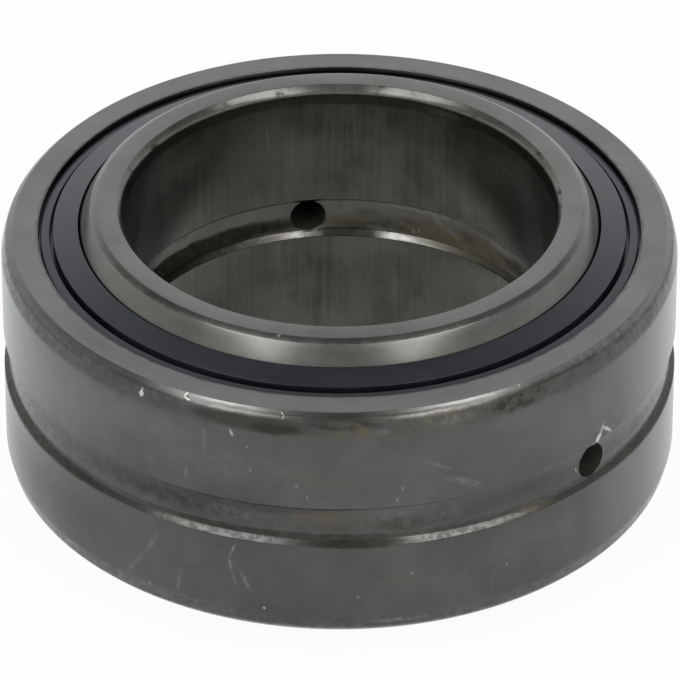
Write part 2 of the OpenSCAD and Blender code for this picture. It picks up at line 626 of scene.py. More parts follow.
class Workpiece:
    """A mesh in millimetres that is turned, eased, cut and finished.

    Attributes:
        STEPS: Steps of a full turn.
        EASE_SEGMENTS: Segments of a rounded edge.
        JOIN: Distance at which points are joined.
        TOUCH: Distance at which a point counts as on a corner.
        SHARP: Angle from which an edge is shaded sharp.
        EVEN_WEIGHT: Weight of large faces in the shading.
        DRILL_STEPS: Steps round an oil hole.
        MOUTH: Broken edge of an oil hole.
        PROUD: How far that edge reaches past the surface.
        CLEAR: How far a cutter runs past the piece.
    """

    STEPS = 360
    EASE_SEGMENTS = 5
    JOIN = 1e-3
    TOUCH = 5e-3
    SHARP = math.radians(32.0)
    EVEN_WEIGHT = 90
    DRILL_STEPS = 72
    MOUTH = 0.05
    PROUD = 0.01
    CLEAR = 1.0

    def __init__(self, name: str) -> None:
        """Start an empty mesh.

        Args:
            name: Name of the piece.
        """
        self.name = name
        self.bm = bmesh.new()

    def turn(self, outline: Sequence[Corner], closed: bool = False) -> None:
        """Spin an outline all the way round the bore axis and ease its corners.

        Args:
            outline: The corners in order.
            closed: Whether the last corner joins the first.
        """
        verts = [self.bm.verts.new((corner.radius, 0.0, corner.height)) for corner in outline]
        ends = verts[1:] + verts[:1] if closed else verts[1:]
        edges = [self.bm.edges.new(pair) for pair in zip(verts, ends)]
        bmesh.ops.spin(
            self.bm, geom=verts + edges, cent=(0, 0, 0), axis=(0, 0, 1),
            angle=math.tau, steps=self.STEPS, use_merge=True,
        )
        bmesh.ops.recalc_face_normals(self.bm, faces=self.bm.faces)
        for width in sorted({corner.ease for corner in outline if corner.ease > 0.0}):
            self.ease([corner for corner in outline if corner.ease == width], width)

    def ease(self, rims: Sequence[Corner], width: float) -> None:
        """Round the edges that run round the piece at some corners.

        Args:
            rims: The corners.
            width: Millimetres that the rounding takes off each side.
        """
        edges = [edge for edge in self.bm.edges if self.on_rim(edge, rims)]
        bmesh.ops.bevel(
            self.bm, geom=edges, offset=width, offset_type="OFFSET", affect="EDGES",
            segments=self.EASE_SEGMENTS, profile=0.5, material=-1, clamp_overlap=True,
        )

    def on_rim(self, edge: bmesh.types.BMEdge, rims: Sequence[Corner]) -> bool:
        """Say whether an edge runs round the piece at one of some corners.

        Args:
            edge: The edge.
            rims: The corners.

        Returns:
            Whether it does.
        """
        spots = [(vert.co.xy.length, vert.co.z) for vert in edge.verts]
        return any(
            all(abs(r - rim.radius) < self.TOUCH and abs(z - rim.height) < self.TOUCH for r, z in spots)
            for rim in rims
        )

    def mirror(self, keep: bool = True) -> None:
        """Mirror the mesh to the other end.

        Args:
            keep: Whether the first end stays and the two are joined.
        """
        if keep:
            everything = self.bm.verts[:] + self.bm.edges[:] + self.bm.faces[:]
            bmesh.ops.mirror(self.bm, geom=everything, matrix=Matrix(), merge_dist=self.JOIN, axis="Z")
        else:
            bmesh.ops.scale(self.bm, vec=(1.0, 1.0, -1.0), verts=self.bm.verts)
        bmesh.ops.recalc_face_normals(self.bm, faces=self.bm.faces)

    def mark_zones(self, zone_at: Callable[[float, float], Enum], zones: Sequence[Enum]) -> None:
        """Give each face the finish of the zone it lies in.

        Args:
            zone_at: Gives the zone at a radius and a height, below 0 at the lower end.
            zones: All zones in the order of the material slots.
        """
        slots = {zone: index for index, zone in enumerate(zones)}
        for face in self.bm.faces:
            middle = face.calc_center_median()
            face.material_index = slots[zone_at(middle.xy.length, middle.z)]

    def to_object(self, finishes: Sequence[bpy.types.Material]) -> bpy.types.Object:
        """Make an object of the mesh, still in millimetres.

        Args:
            finishes: Materials in the order of the slots.

        Returns:
            The object.
        """
        mesh = bpy.data.meshes.new(self.name)
        self.bm.to_mesh(mesh)
        self.bm.free()
        for finish in finishes:
            mesh.materials.append(finish)
        piece = bpy.data.objects.new(self.name, mesh)
        bpy.context.scene.collection.objects.link(piece)
        return piece

    @staticmethod
    def cut(piece: bpy.types.Object, tool: bmesh.types.BMesh, slot: int) -> None:
        """Cut a tool's shape out of a piece.

        Args:
            piece: Piece in millimetres.
            tool: Closed shape to take away, which is used up.
            slot: Material slot of the cut faces.
        """
        for face in tool.faces:
            face.material_index = slot
        mesh = bpy.data.meshes.new("cutter")
        tool.to_mesh(mesh)
        tool.free()
        cutter = bpy.data.objects.new("cutter", mesh)
        for finish in piece.data.materials:
            mesh.materials.append(finish)
        bpy.context.scene.collection.objects.link(cutter)
        modifier = piece.modifiers.new("cut", "BOOLEAN")
        modifier.operation = "DIFFERENCE"
        modifier.solver = "MANIFOLD"
        modifier.material_mode = "INDEX"
        modifier.object = cutter
        graph = bpy.context.evaluated_depsgraph_get()
        whole = piece.data
        piece.data = bpy.data.meshes.new_from_object(piece.evaluated_get(graph))
        piece.modifiers.clear()
        bpy.data.meshes.remove(whole)
        bpy.data.objects.remove(cutter)
        bpy.data.meshes.remove(mesh)

    @classmethod
    def finish(cls, piece: bpy.types.Object) -> None:
        """Bring a piece to metres and shade it smooth.

        Args:
            piece: Piece in millimetres.
        """
        mesh = piece.data
        mesh.name = piece.name
        mesh.transform(Matrix.Scale(MM, 4))
        mesh.polygons.foreach_set("use_smooth", [True] * len(mesh.polygons))
        mesh.set_sharp_from_angle(angle=cls.SHARP)
        modifier = piece.modifiers.new("even_shading", "WEIGHTED_NORMAL")
        modifier.keep_sharp = True
        modifier.weight = cls.EVEN_WEIGHT


def oil_drill(diameter: float, bearing: float, steps: Sequence[Place]) -> bmesh.types.BMesh:
    """Make the drill for a pair of radial oil holes.

    Args:
        diameter: Millimetres across the hole.
        bearing: Degrees from +X about the bore axis.
        steps: Distance from the bore axis and extra radius of each step, from the inside out.

    Returns:
        The drill.
    """
    tool = bmesh.new()
    half = [(diameter / 2 + extra, along) for along, extra in steps]
    tip = half[-1][1]
    outline = [(0.0, -tip), *((radius, -along) for radius, along in reversed(half)), *half, (0.0, tip)]
    verts = [tool.verts.new((radius, 0.0, along)) for radius, along in outline]
    edges = [tool.edges.new(pair) for pair in zip(verts, verts[1:])]
    bmesh.ops.spin(
        tool, geom=verts + edges, cent=(0, 0, 0), axis=(0, 0, 1),
        angle=math.tau, steps=Workpiece.DRILL_STEPS, use_merge=True,
    )
    bmesh.ops.remove_doubles(tool, verts=tool.verts, dist=Workpiece.JOIN)
    bmesh.ops.recalc_face_normals(tool, faces=tool.faces)
    turned = Matrix.Rotation(math.radians(bearing), 4, "Z") @ Matrix.Rotation(math.radians(90.0), 4, "Y")
    bmesh.ops.transform(tool, matrix=turned, verts=tool.verts)
    return tool


# Outer ring


class OuterZone(Enum):
    """Surfaces of the outer ring that have a finish of their own."""

    FACE = "end face"
    BREAK = "corner break"
    OUTSIDE = "ground outside with its tapers and grease groove"
    INSIDE = "hollow sphere and seal recess"
    HOLE = "oil hole"


# Dirt, stains, nicks and rubbed edges of the corner breaks and tapers, with painted highlights along the
# breaks and painted shade between them.
CORNER_MARKS = (
    Mark.lay(
        Trace.GRIME_AND_SHADE,
        # The second mark on this line is painted shade: a dark dip between the break's two highlight lines.
        ((-400, 8.1), (400, 8.1), 1.5, 0.3, 0.35, 0.8), ((-27, 8.76), (32, 8.76), 0.22, 0.75, 0.8, 0.2),
        # Both marks on this line are painted shade on the break's front, between the lamps' highlights.
        ((-12, 8.88), (12, 8.88), 0.42, 0.6, 0.8, 0.3), ((-7, 8.6), (5.5, 8.6), 0.6, 0.45, 0.8, 0.3),
        ((23, 8.6), (36, 8.6), 0.4, 0.5, 0.8, 0.4), ((-36, 8), (-24, 8), 1.6, 0.32, 0.7, 0.6),
        ((-27, 8.05), (-4, 8.05), 1.5, 0.75, 0.5, 0.1), ((-17, 7.8), (-5, 7.8), 1.2, 0.95, 0.6, 0.05),
        ((-8, 8.25), (9, 8.2), 1, 0.8, 0.6, 0.35), ((3.6, 8.4), (4.2, 8), 0.5, 0.8, 0.8, 0.3),
        ((7.5, 8), (11, 8), 1, 0.4, 0.8, 0.4), ((24, 8), (38, 8), 1.5, 0.85, 0.5, 0.6),
        # The first mark on this line is painted shade on the lower taper, which mirrors the floor in the
        # bearing's shadow.
        ((-400, -8.1), (400, -8.1), 1.5, 0.3, 0.35, 0.8), ((-26.3, 8.8), (-26.2, 8.72), 0.16, 0.8),
        ((-9.6, 8.74), (-9.6, 8.6), 0.08, 0.9, 0.6, 0.2),
    )
    + Mark.lay(
        Trace.BROWN,
        ((-4, 7.72), (7, 7.7), 0.9, 0.85, 0.7, 0.6), ((-3, 8.4), (3, 8.3), 0.7, 0.6, 0.8, 0.7),
        ((9, 8.08), (24, 8.02), 1.5, 0.95, 0.6, 0.8),
    )
    + Mark.lay(Trace.RUST, ((2.4, 8.3), (4.8, 7.7), 1, 0.6, 0.9, 0.6))
    + Mark.lay(
        Trace.SMEAR,
        ((12, 8.02), (23, 7.94), 1.3, 0.34, 0.8, 0.9), ((5.5, 7.75), (8.5, 7.7), 0.6, 0.45, 0.8, 0.6),
        ((28.9, 7.95), (28.9, 7.8), 0.14, 0.6), ((5, -7.95), (15, -7.95), 0.6, 0.45),
        ((-42, -7.55), (-17, -7.55), 0.14, 0.3), ((-120, 8.8), (-23, 8.8), 0.7, 0.34, 0.5, 0.3),
        ((24, 8.86), (120, 8.86), 0.64, 0.72, 0.5, 0.3),
    )
    + Mark.lay(
        Trace.BARE_AND_HIGHLIGHT,
        # The marks at heights 8.91 to 8.94 and at 8.64 are painted highlights along the break, at the lamps'
        # bearings.
        ((-28, 8.93), (-12, 8.94), 0.26, 0.24, 0.9, 0.15),
        ((12.5, 8.91), (31.5, 8.91), 0.28, 0.22, 0.9, 0.15),
        ((26, 8.96), (62, 8.96), 0.2, 0.14, 0.9, 0.3), ((-27, 8.64), (-9.5, 8.63), 0.22, 0.1, 0.9, 0.3),
        ((7.5, 8.64), (22, 8.64), 0.22, 0.12, 0.9, 0.3),
        ((-26.4, 8.97), (-26.9, 8.86), 0.1, 0.8, 0.6, 0.2),
        ((-26.9, 8.86), (-26.7, 8.72), 0.1, 0.8, 0.6, 0.2),
        ((-26.7, 8.72), (-25.7, 8.62), 0.12, 0.9, 0.6, 0.2),
        ((-9.9, 8.88), (-9.3, 8.72), 0.08, 0.7, 0.6, 0.2),
        ((-9.3, 8.72), (-9.5, 8.5), 0.08, 0.7, 0.6, 0.2), ((31.9, 9), (31.9, 8.76), 0.08, 0.5, 0.6, 0.2),
        ((-34.9, 8.1), (-34.9, 8.02), 0.42, 1, 0.35, 0),
        ((-34.8, 8.46), (-34.9, 8.1), 0.2, 0.9, 0.6, 0.1),
    )
)

# Smears, drips, scratches and, last, specks on the ground outside, with painted reflection that lightens
# parts of the seat, painted shade on its lower left and a painted glint on the oil hole's rim.
SEAT_MARKS = (
    Mark.lay(
        Trace.GRIME_AND_SHADE,
        # The second mark on this line is painted shade on the lower left seat, which mirrors the floor in the
        # bearing's shadow.
        ((-7, 3.4), (7, 3.2), 5, 0.12, 1, 0.4), ((-90, -4.6), (-27, -4.6), 7, 0.24, 1, 0.3),
    )
    + Mark.lay(
        Trace.BROWN,
        ((47.8, 2.35), (48.3, 2.2), 0.5, 0.6), ((50.1, 2.05), (50.3, 1.75), 0.44, 0.6),
        ((7, -4.2), (14, -4.7), 1.2, 0.3), ((-12, 7.42), (16, 7.42), 0.45, 0.45),
        ((-12, 4.5), (12, 3.5), 4, 0.2, 1, 0.7),
    )
    + Mark.lay(
        Trace.SMEAR,
        ((-17.4, -1.89), (-18.6, -3.34), 0.26, 0.8), ((-18.6, -3.34), (-18.1, -4.46), 0.3, 0.8),
        ((-18.1, -4.46), (-17.3, -5.64), 0.28, 0.72), ((-16.8, -4.1), (-14.8, -5.9), 0.34, 0.5),
        ((-31.7, -2.88), (-34.8, -5.23), 0.5, 0.34), ((-34.8, -5.23), (-38.1, -7.06), 0.5, 0.28),
        ((-27.6, -5.13), (-28.2, -7.32), 0.4, 0.4), ((-22.9, 7.27), (-22.8, 4.83), 0.42, 0.42),
        ((-26.2, 3.45), (-26.2, 2.46), 0.36, 0.4), ((-30, 6.4), (-26.5, 5), 0.5, 0.16),
        ((26, -4.5), (26.2, -7), 0.5, 0.14), ((-10.8, -6.2), (-10.4, -6.5), 0.6, 0.15),
        ((14, 5), (19.5, 3.9), 0.36, 0.36), ((17.5, 3.4), (25, 2.1), 0.8, 0.38),
        # The broad, faint mark at the end of this line and those on the next two lines are painted reflection
        # that lightens the seat where it mirrors a lighter floor.
        ((29.5, 7.2), (29.6, 6.4), 0.3, 0.25), ((-28, 4.6), (-14, 4.3), 5.4, 0.24, 1, 0.4),
        ((-52, 6), (-12, 6.2), 4, 0.18, 0.9, 0.3), ((24, 6.6), (38, 6.6), 2.6, 0.18, 1, 0.3),
        ((-16, -4.6), (16, -4.6), 7, 0.09, 1, 0.3), ((14, -4), (46, -4), 6, 0.13, 1, 0.4),
    )
    + Mark.lay(
        Trace.BARE_AND_HIGHLIGHT,
        ((-18.2, 7.3), (-17.8, 6.85), 0.26, 0.6), ((-12.6, -7), (-12.6, -7.06), 0.22, 0.8, 0.6, 0),
        ((48.3, 1.6), (49.3, 2.15), 0.5, 1, 0.5, 0.15), ((49, 2), (50.2, 2.85), 0.32, 0.6, 0.8, 0.3),
        ((49.9, 2.55), (52.2, 1.75), 0.36, 0.85, 0.5, 0.15),
        # The second mark on this line is a painted glint on the oil hole's rim.
        ((47.3, 1.66), (48.5, 1.52), 0.14, 0.7, 0.6, 0.2), ((44, 0.3), (44.3, -0.3), 0.16, 0.5, 0.8, 0.3),
        # These two broad, faint marks are painted reflection that lightens the sides of the upper seat.
        ((-90, 5.2), (-24, 5.4), 8, 0.055, 0.8, 0.1), ((30, 4.8), (90, 4.8), 7.5, 0.035, 0.8, 0.1),
    )
    + Mark.lay(
        Trace.SMEAR,
        *(
            ((bearing, place), (bearing, place - 0.1), 0.3, 0.65, 0.6, 0.3)
            for bearing, place in (
                (-14.7, 4.3), (-15.3, 6.15), (-7, 3.4), (-5.3, 2.5), (10.5, 3.1),
                (9.5, 2.15), (3.1, -5.7), (29.1, -5), (12.1, -4), (-33.5, -7.3),
            )
        ),
    )
)

# Dirt and stains in the outer grease groove, with painted shade under its upper edge and on the lower flank,
# painted light on the upper flank and painted highlights on the lower flank.
GROOVE_MARKS = (
    Mark.lay(Trace.GREASE, ((-50, 0.6), (-18, 0.5), 2.4, 0.5, 0.8, 0.3))
    + Mark.lay(
        Trace.GRIME_AND_SHADE,
        ((-400, -1.05), (400, -1.05), 0.8, 0.5, 0.9, 0.4), ((-400, 0), (400, 0), 2.4, 0.3, 0.9, 0.7),
        # Both marks on this line are painted shade under the groove's upper edge.
        ((-110, 0.9), (6, 0.9), 2, 0.3, 0.4, 0.4), ((-38, 1), (7, 1), 1, 0.5, 0.6, 0.3),
        ((-44, -1), (20, -1), 0.8, 0.85, 0.5, 0.3), ((-42, 0.2), (-14, 0.2), 2.3, 0.6, 0.7, 0.6),
        ((4.5, -0.1), (16, -0.2), 2, 0.55, 0.7, 0.6), ((18, 0.3), (44, 0.3), 2.4, 0.34, 0.9, 0.15),
        # The first mark on this line is painted shade on the lower flank, between the lamps' highlights.
        ((-8, -1.42), (14, -1.43), 0.8, 0.96, 0.5, 0.1), ((9, -1.55), (15, -1.5), 0.3, 0.8, 0.8, 0.4),
        ((-36, -1.38), (-4, -1.38), 0.8, 0.6, 0.5, 1), ((8, -1.38), (38, -1.38), 0.8, 0.6, 0.5, 1),
        # This mark and the next are painted shade on the lower flank beyond the lamps' highlights.
        ((-130, -1.38), (-30, -1.38), 1.2, 0.75, 0.4, 0.2),
        ((37, -1.38), (130, -1.38), 1.2, 0.75, 0.4, 0.2),
    )
    + Mark.lay(
        Trace.BROWN,
        ((-8, 0.45), (4.5, 0.4), 1.9, 0.72, 0.6, 0.4), ((31, -1.15), (39, -1.4), 1, 0.8, 0.7, 0.4),
    )
    + Mark.lay(
        Trace.SMEAR,
        # The first mark on this line is painted light that lifts the upper flank, which mirrors the shadowed
        # floor.
        ((-40, 1.42), (56, 1.42), 0.56, 0.2, 0.6, 0.2), ((-25, 0.3), (-9, 0.2), 1.6, 0.16, 0.9, 1),
        ((4, 0.6), (13, 0.6), 0.9, 0.2, 0.9, 0.9), ((16, 0.3), (22, 0.2), 1.4, 0.14, 0.9, 0.9),
    )
    + Mark.lay(
        Trace.BARE_AND_HIGHLIGHT,
        # These two marks are painted highlights on the lower flank, past the lamps' reach.
        ((24, -1.42), (36, -1.42), 0.45, 0.26, 0.8, 0.5),
        ((-36, -1.42), (-25, -1.42), 0.45, 0.18, 0.8, 0.5),
    )
)


@dataclass
class OuterRing:
    """Steel ring with the hollow sphere, a grease groove and two oil holes.

    Sizes are in millimetres, and bearings in degrees from +X.

    Attributes:
        outside_r: Radius of the ground outside.
        half: Half of the ring's width.
        race_r: Radius of the hollow sphere.
        taper_len: Length of the lead-in taper.
        taper_drop: Radial drop of the lead-in taper.
        corner_break: Corner break between taper and end face.
        groove_half: Half width of the groove at the outside.
        groove_depth: Depth of the groove.
        groove_flank: Axial run of a groove flank.
        recess_r: Radius of the seal recess.
        recess_floor: Height of the recess floor.
        undercut_r: Radius of the seal's undercut.
        undercut_top: Height of the undercut's top.
        channel_depth: Depth of the grease channel in the sphere.
        channel_arc: Radius of the channel's section.
        hole_d: Diameter of the oil holes.
        hole_bearing: Bearing of the first oil hole.
        split_gap: Width of the split.
        split_bearing: Bearing of the split.
    """

    outside_r: float = 23.5
    half: float = 9.0
    race_r: float = 20.39
    taper_len: float = 1.1
    taper_drop: float = 0.28
    corner_break: float = 0.48
    groove_half: float = 1.6
    groove_depth: float = 0.35
    groove_flank: float = 0.4
    recess_r: float = 20.92
    recess_floor: float = 7.3
    undercut_r: float = 21.37
    undercut_top: float = 8.1
    channel_depth: float = 0.6
    channel_arc: float = 1.5
    hole_d: float = 2.5
    hole_bearing: float = -42.0
    split_gap: float = 0.012
    split_bearing: float = 22.0

    def outline(self) -> list[Corner]:
        """Give the upper half of the section, from the groove round to the channel.

        Returns:
            The corners in order.
        """
        taper_r = self.outside_r - self.taper_drop
        taper_z = self.half - self.corner_break
        floor_r = self.outside_r - self.groove_depth
        channel_mid = self.race_r + self.channel_depth - self.channel_arc
        meet = (self.race_r**2 + channel_mid**2 - self.channel_arc**2) / (2.0 * channel_mid)
        meet_z = math.sqrt(self.race_r**2 - meet**2)
        race_top = math.degrees(math.asin(self.recess_floor / self.race_r))
        race_low = math.degrees(math.asin(meet_z / self.race_r))
        channel_top = math.degrees(math.asin(meet_z / self.channel_arc))
        return [
            Corner(floor_r, 0.0),
            Corner(floor_r, self.groove_half - self.groove_flank, 0.06),
            Corner(self.outside_r, self.groove_half, 0.03),
            Corner(self.outside_r, taper_z - self.taper_len, 0.15),
            Corner(taper_r, taper_z, 0.22),
            Corner(taper_r - self.corner_break, self.half, 0.04),
            Corner(self.recess_r, self.half, 0.05),
            Corner(self.recess_r, self.undercut_top, 0.05),
            Corner(self.undercut_r, self.undercut_top),
            Corner(self.undercut_r, self.recess_floor),
            *arc(CENTRE, self.race_r, race_top, race_low, 24),
            *arc(Corner(channel_mid, 0.0), self.channel_arc, channel_top, 0.0, 8)[1:],
        ]

    def zone_at(self, radius: float, height: float) -> OuterZone:
        """Give the zone at a radius and a height.

        Args:
            radius: Millimetres from the bore axis.
            height: Millimetres above the middle, below 0 at the lower end.

        Returns:
            The zone.
        """
        edge, level = 0.04, abs(height)
        rounded = 0.26
        if level > self.half - edge and radius < self.outside_r - self.taper_drop - self.corner_break + edge:
            return OuterZone.FACE
        if radius < self.undercut_r + edge:
            return OuterZone.INSIDE
        return OuterZone.BREAK if level > self.half - self.corner_break - rounded else OuterZone.OUTSIDE

    def build(self) -> bpy.types.Object:
        """Turn the ring, drill its oil holes and saw its split.

        Returns:
            The piece, in millimetres.
        """
        zones = list(OuterZone)
        work = Workpiece("outer_ring_turned")
        work.turn(self.outline())
        work.mirror()
        work.mark_zones(self.zone_at, zones)
        piece = work.to_object(self.finishes())
        hole_slot = zones.index(OuterZone.HOLE)
        floor_r = self.outside_r - self.groove_depth
        mouth, rim, reach = Workpiece.MOUTH, floor_r + Workpiece.PROUD, self.outside_r + Workpiece.CLEAR
        steps = ((rim - mouth, 0.0), (rim, mouth), (reach, mouth))
        Workpiece.cut(piece, oil_drill(self.hole_d, self.hole_bearing, steps), hole_slot)
        saw = bmesh.new()
        tall = 2.0 * (self.half + Workpiece.CLEAR)
        blade = Matrix.Diagonal((reach, self.split_gap, tall, 1.0))
        ahead = Matrix.Translation((0.5 * reach, 0.0, 0.0))
        turned = Matrix.Rotation(math.radians(self.split_bearing), 4, "Z")
        bmesh.ops.create_cube(saw, size=1.0, matrix=turned @ ahead @ blade)
        Workpiece.cut(piece, saw, hole_slot)
        return piece

    def finishes(self) -> list[bpy.types.Material]:
        """Make the finish of each zone.

        Returns:
            The materials in the order of the zones.
        """
        finishes = {
            OuterZone.FACE: Steel(
                "outer_face_steel", (0.164, 0.168, 0.167), (0.210, 0.212, 0.208), tint=(0.172, 0.174, 0.166),
                lay=Lay.RINGS, pitch=0.16, line_share=0.3, rough=0.40, along="radius", reach=22.0,
                mottle_share=0.9, dirt_from=0.72, dirt_full=0.9, wander=0.1,
                marks=Mark.lay(
                    Trace.GRIME_AND_SHADE,
                    # Painted shade along the edge of the seal recess.
                    ((-400, 20.95), (400, 20.95), 0.46, 0.58, 0.9, 0.3),
                    ((-64, 22), (-24, 22), 3.2, 0.24, 1, 0.3),
                    ((-24, 21.9), (72, 21.9), 3.2, 0.09, 1, 0.3),
                )
                + Mark.lay(
                    Trace.BARE_AND_HIGHLIGHT,
                    # These two marks are painted highlights on the face's outer edge, at the lamps' bearings.
                    ((-29, 22.74), (-12, 22.74), 0.24, 0.25, 0.9, 0.2),
                    ((13, 22.74), (31, 22.74), 0.24, 0.18, 0.9, 0.2),
                ),
            ),
            OuterZone.BREAK: Steel(
                "outer_break_steel", (0.072, 0.073, 0.072), (0.102, 0.102, 0.099), cloud=(2.0, 2.0, 2.0),
                rough=0.25, line_depth=0.001, dirt_size=1.6, dirt_from=0.60, dirt_full=0.80, wander=0.03,
                marks=CORNER_MARKS,
            ),
            OuterZone.OUTSIDE: Steel(
                "outer_seat_steel", (0.057, 0.060, 0.061), (0.099, 0.098, 0.094), cloud=(6.0, 6.0, 9.0),
                line_share=0.2, mottle_share=0.8, rough=0.22, oil=0.6, tint=(0.082, 0.074, 0.064),
                dirt_from=0.72, dirt_full=0.95, wander=0.06,
                marks=CORNER_MARKS + SEAT_MARKS + GROOVE_MARKS,
            ),
            OuterZone.INSIDE: Steel(
                "race_steel", (0.12, 0.12, 0.115), (0.19, 0.19, 0.18), rough=0.3,
                dirt_from=0.7, dirt_full=0.9,
            ),
            OuterZone.HOLE: Steel(
                "oil_hole_steel", (0.036, 0.036, 0.030), (0.056, 0.055, 0.047), rough=0.45,
                metal=0.4, dirt_full=1.0,
            ),
        }
        return [finishes[zone].make() for zone in OuterZone]

    def dress(self, piece: bpy.types.Object) -> None:
        """Shade the ring and set it on its body.

        Args:
            piece: The ring, in millimetres.
        """
        Workpiece.finish(piece)
        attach(piece, "outer_ring")
        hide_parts("outer_ring")


# Inner ring


class InnerZone(Enum):
    """Surfaces of the inner ring that have a finish of their own."""

    FACE = "end face"
    RIM = "bevel between face and ball"
    BALL = "ball"
    CHAMFER = "bore chamfer"
    BORE = "bore"
    GROOVE = "grease groove in the bore"
    HOLE = "oil hole"


# Painted dark reflection below the chamfer, stains and streaks on the bore wall.
BORE_MARKS = (
    Mark.lay(
        Trace.GRIME_AND_SHADE,
        # The first mark on this line is painted shade: the dark band below the chamfer, where the wall
        # mirrors the far bore wall's dark lower edge.
        ((-400, 10), (400, 10), 1, 0.75, 0.5, 0.1), ((-60, -6), (60, -6), 9, 0.26, 0.8, 0.3),
        ((-40, 3.5), (40, 3.5), 5, 0.12, 1, 0.4),
    )
    + Mark.lay(
        Trace.BROWN,
        ((23, 10.05), (36, 9.95), 0.9, 0.8, 0.8, 0.4), ((-19, 9.9), (-12, 9.9), 0.7, 0.3),
        ((34, -1.9), (50, -1.8), 0.6, 0.5), ((12, -2), (26, -1.9), 0.4, 0.3),
        ((-10, 1.8), (14, 1.8), 0.4, 0.3),
    )
    + Mark.lay(
        Trace.SMEAR,
        ((36, 7.4), (70, 7.4), 5.5, 0.28, 1, 0.3), ((-70, 7.4), (-38, 7.4), 5.5, 0.22, 1, 0.3),
        ((-20.4, 8.7), (-19.2, 5.6), 0.16, 0.4), ((-13, 7.4), (-12.8, 3.6), 0.3, 0.16),
        ((4, 8.4), (4.2, 5.2), 0.24, 0.18), ((18, 7.2), (17.8, 3.4), 0.3, 0.16),
        ((28, 6.6), (28.4, 5.2), 0.4, 0.2), ((-16, -3.5), (-15.6, -8.2), 0.4, 0.16),
        ((-4, -3.5), (-4.2, -9), 0.3, 0.14), ((15, -3), (15.2, -8), 0.4, 0.16),
    )
)

# Stains in the grease groove of the bore, with painted shade and painted highlights on its lower flank.
BORE_GROOVE_MARKS = (
    Mark.lay(
        Trace.GRIME_AND_SHADE,
        ((-110, 1.45), (-6, 1.45), 0.7, 0.6, 0.4, 0.2), ((-400, 1.42), (400, 1.42), 0.6, 0.4, 0.9, 0.3),
        # Both marks on this line are painted shade on the lower flank, left of and between the lamps'
        # highlights.
        ((-100, -1.42), (-10, -1.42), 1.1, 1, 0.35, 0.15), ((-5.5, -1.42), (11, -1.42), 1.1, 1, 0.4, 0.1),
        ((-9.5, -1.2), (-9.3, -1.55), 0.22, 0.7, 0.6, 0.2),
        ((-6.9, -1.2), (-6.7, -1.5), 0.18, 0.7, 0.6, 0.2), ((34, 1), (66, 0.95), 0.7, 0.5, 0.6, 0.3),
    )
    + Mark.lay(
        Trace.BROWN,
        ((-6, -0.4), (12, -0.45), 1.6, 0.85, 0.6, 0.3), ((8, -0.4), (70, -0.4), 2.6, 1, 0.5, 0.3),
        ((18, -1.28), (75, -1.28), 0.64, 0.8, 0.35, 0.35),
    )
    + Mark.lay(
        Trace.RUST,
        ((23, -0.95), (27, -1), 0.6, 0.6, 0.8, 0.4), ((29, -0.75), (34.5, -0.9), 0.9, 0.85, 0.8, 0.3),
        ((38, -0.75), (43, -0.9), 0.8, 0.8, 0.8, 0.3), ((45.5, -0.3), (48, -0.6), 0.7, 0.7, 0.8, 0.4),
    )
    + Mark.lay(
        Trace.SLUDGE,
        ((-110, -0.55), (-2, -0.55), 2, 0.95, 0.35, 0.1), ((-3, -0.75), (15, -0.75), 1, 0.5, 0.7, 0.3),
        ((8.5, -0.4), (15.5, -0.55), 1.4, 0.6, 0.8, 0.5),
        ((14, -0.75), (20.5, -0.85), 0.7, 0.5, 0.8, 0.4), ((17, 0.1), (20.5, -0.15), 0.9, 0.34, 0.9, 0.3),
        ((4, 0.3), (12, 0.05), 1.3, 0.4, 0.9, 0.3), ((35, 0.35), (38.5, -0.35), 0.9, 0.42, 0.9, 0.3),
        ((44, -0.55), (47.5, -0.95), 0.7, 0.36, 0.9, 0.3), ((48, -0.2), (62, -0.5), 1.6, 0.5, 0.8, 0.3),
    )
    + Mark.lay(
        Trace.SMEAR,
        ((8, 1.06), (36, 0.98), 0.36, 0.55, 0.6, 0.3), ((-4, 1.42), (44, 1.42), 0.5, 0.26, 0.6, 0.2),
        ((25.5, 0.9), (29.5, -0.05), 0.9, 0.5, 0.9, 0.4), ((30, 0.3), (33.5, -0.45), 0.9, 0.45, 0.9, 0.4),
        ((35, -0.95), (37, -1.05), 0.5, 0.3, 0.9, 0.4), ((44, 0.45), (53, 0.2), 0.9, 0.65, 0.8, 0.3),
        ((19.8, -0.6), (20.2, -0.9), 0.3, 0.7), ((21.6, -0.55), (21.8, -0.8), 0.25, 0.7),
    )
    + Mark.lay(
        Trace.BARE_AND_HIGHLIGHT,
        # Both marks on this line are painted highlights on the lower flank.
        ((-17, -1.42), (-4, -1.42), 0.5, 0.32, 0.8, 0.4), ((9, -1.42), (22, -1.44), 0.5, 0.28, 0.8, 0.4),
    )
)


